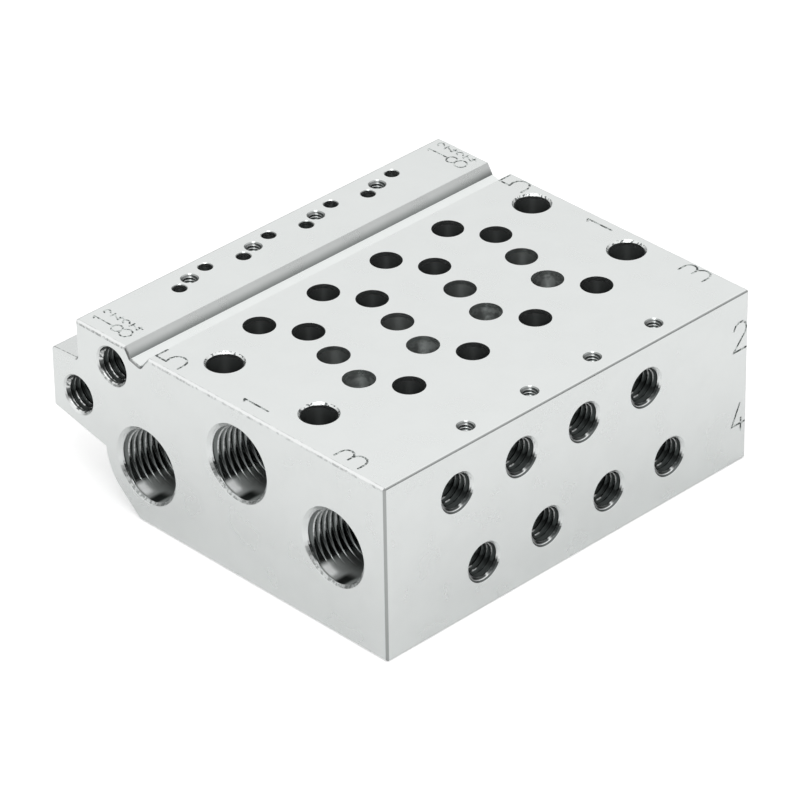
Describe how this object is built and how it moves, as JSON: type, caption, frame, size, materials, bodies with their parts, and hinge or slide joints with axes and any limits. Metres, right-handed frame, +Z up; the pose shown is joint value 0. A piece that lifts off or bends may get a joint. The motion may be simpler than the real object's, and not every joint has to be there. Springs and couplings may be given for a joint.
{
  "type": "valve manifold base",
  "caption": "Machined aluminium base that feeds pressure and exhaust through long galleries to a row of small pneumatic valves, with threaded ports in its ends and side",
  "frame": {"origin": "bottom centre of the bounding box, in the plane of the flat underside", "axes": "+X across the base towards the outlet face, +Y along the row of valves, +Z up out of the deck"},
  "size_m": [0.0576, 0.061, 0.0239],
  "materials": {
    "anodised_aluminium": "satin"
  },
  "bodies": {
    "root": {"manifold_base": "anodised_aluminium"}
  },
  "joints": []
}
